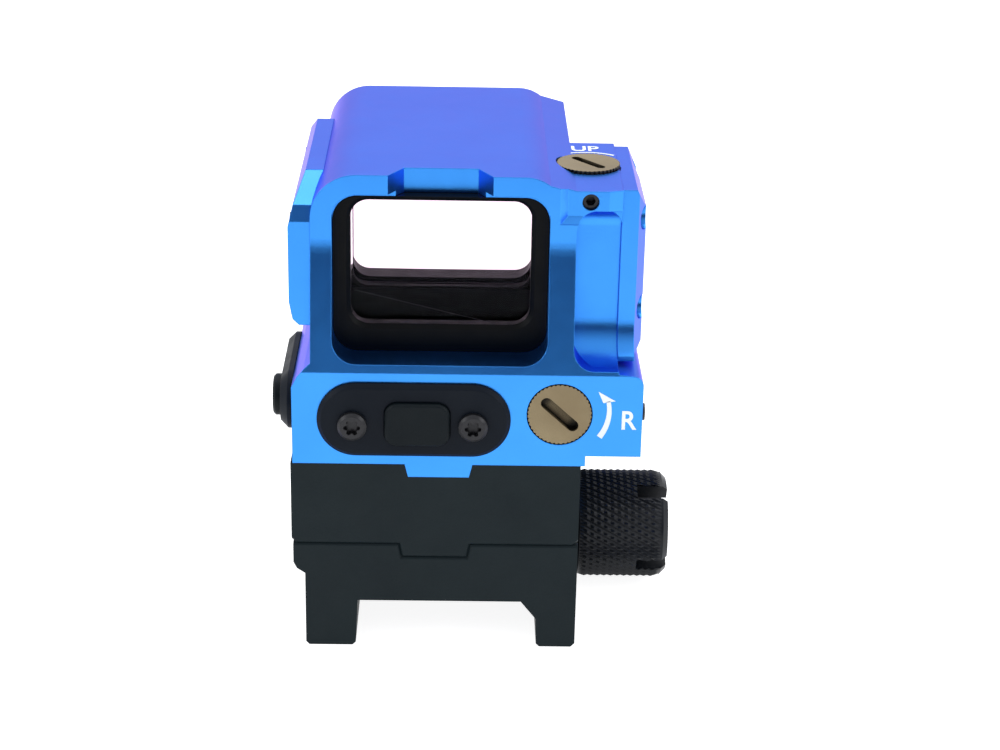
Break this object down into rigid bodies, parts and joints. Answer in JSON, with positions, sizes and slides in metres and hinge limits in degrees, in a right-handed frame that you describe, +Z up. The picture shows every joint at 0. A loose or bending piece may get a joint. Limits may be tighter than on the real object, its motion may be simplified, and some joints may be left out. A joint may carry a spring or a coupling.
{
  "type": "red dot finder",
  "caption": "Compact reflex sight with a rectangular window, prism splitter, elevation and windage dials, push buttons, riser and rail clamp with a knurled thumb nut.",
  "frame": {"origin": "middle of the flat rail seat under the clamp base, on the clamp bolt's centre plane", "axes": "+Z up, +Y along the line of sight towards the front lens, +X to the right, towards the thumb nut"},
  "size_m": [0.0598, 0.0577, 0.0719],
  "materials": {
    "blue_anodised": "bright blue anodised, fine bead-blasted",
    "black_anodised": "matt black anodised",
    "black_knurled": "matt black anodised, diamond knurled",
    "black_steel": "black oxide",
    "steel": "zinc plated",
    "spring_steel": "drawn wire",
    "dial_metal": "bronze-brown turned metal",
    "brass": "machined",
    "optical_glass": "polished, edges blackened",
    "coated_lens": "polished, red-reflecting coating",
    "rubber": "moulded",
    "button_rubber": "moulded, satin",
    "black_plastic": "moulded",
    "chip_black": "moulded epoxy",
    "circuit_board": "solder-masked laminate",
    "red_led": "clear red epoxy",
    "cell_steel": "nickel-plated can",
    "contact_gold": "gold-plated leaf"
  },
  "bodies": {
    "body": {"housing": "blue_anodised", "left_side_plate": "blue_anodised", "side_plate_screws": "black_steel", "right_cover": "blue_anodised", "cover_screws": "black_steel", "mechanism_cover": "steel", "rear_lens_frame": "black_anodised", "prism_rear": "optical_glass", "prism_front": "optical_glass", "prism_cradle": "black_anodised", "front_lens": "coated_lens", "lens_gasket": "rubber", "front_bezel": "black_anodised", "elevation_click_plate": "spring_steel", "windage_click_plate": "spring_steel", "elevation_lock_screw": "black_steel", "windage_lock_screw": "black_steel", "rear_button_plate": "black_anodised", "rear_plate_screws": "black_steel", "rear_switch": "black_plastic", "rear_button_spring": "spring_steel", "side_button_plate": "black_anodised", "side_plate_key_screws": "black_steel", "side_switch": "black_plastic", "side_button_spring": "spring_steel", "main_board": "circuit_board", "board_chips": "chip_black", "battery_contacts": "contact_gold", "riser": "black_anodised", "riser_screws": "black_steel", "rail_base": "black_anodised", "base_screws": "black_steel", "nut_washer": "steel", "jaw_springs": "spring_steel"},
    "elevation_dial": {"elevation_dial": "dial_metal"},
    "elevation_carriage": {"elevation_nut": "brass", "guide_pins": "steel"},
    "emitter": {"emitter_holder": "black_plastic", "emitter_led": "red_led", "emitter_board": "circuit_board"},
    "windage_dial": {"windage_dial": "dial_metal"},
    "windage_fork": {"windage_fork": "brass"},
    "rear_button": {"rear_button": "button_rubber"},
    "side_button": {"side_button": "button_rubber"},
    "tray": {"battery_tray": "black_plastic", "battery": "cell_steel", "tray_gasket": "rubber"},
    "thumb_nut": {"thumb_nut": "black_knurled"},
    "clamp": {"clamp_jaw": "black_anodised", "clamp_bolt": "steel"}
  },
  "joints": [
    {"name": "elevation_turn", "type": "hinge", "parent": "body", "child": "elevation_dial", "pos_m": [0.0212, -0.0063, 0.0622], "axis": [0, 0, 1], "range_deg": [-432, 432]},
    {"name": "elevation_travel", "type": "slide", "parent": "body", "child": "elevation_carriage", "axis": [0, 0, 1], "range_m": [-0.0006, 0.0006]},
    {"name": "windage_turn", "type": "hinge", "parent": "body", "child": "windage_dial", "pos_m": [0.0173, -0.024, 0.0303], "axis": [0, 1, 0], "range_deg": [-432, 432]},
    {"name": "windage_travel", "type": "slide", "parent": "body", "child": "windage_fork", "axis": [0, 1, 0], "range_m": [-0.0006, 0.0006]},
    {"name": "emitter_travel", "type": "slide", "parent": "elevation_carriage", "child": "emitter", "axis": [0, 1, 0], "range_m": [-0.0006, 0.0006]},
    {"name": "rear_button_press", "type": "slide", "parent": "body", "child": "rear_button", "axis": [0, 1, 0], "range_m": [0, 0.0005], "stiffness_N_per_m": 1200, "springref_m": -0.0002, "deforming": ["rear_button_spring"]},
    {"name": "side_button_press", "type": "slide", "parent": "body", "child": "side_button", "axis": [1, 0, 0], "range_m": [0, 0.0005], "stiffness_N_per_m": 1200, "springref_m": -0.0002, "deforming": ["side_button_spring"]},
    {"name": "tray_slide", "type": "slide", "parent": "body", "child": "tray", "axis": [0, 1, 0], "range_m": [0, 0.026]},
    {"name": "nut_turn", "type": "hinge", "parent": "body", "child": "thumb_nut", "pos_m": [0.028, 0, 0.0016], "axis": [1, 0, 0], "range_deg": [0, 1080]},
    {"name": "jaw_slide", "type": "slide", "parent": "body", "child": "clamp", "axis": [-1, 0, 0], "range_m": [0, 0.0024], "deforming": ["jaw_springs"]}
  ],
  "couplings": [
    {"joint": "elevation_travel", "follows": "elevation_turn", "m_per_rad": -0.000079577},
    {"joint": "windage_travel", "follows": "windage_turn", "m_per_rad": -0.000079577},
    {"joint": "emitter_travel", "follows": "windage_turn", "m_per_rad": -0.000079577},
    {"joint": "jaw_slide", "follows": "nut_turn", "m_per_rad": 0.00012732}
  ]
}
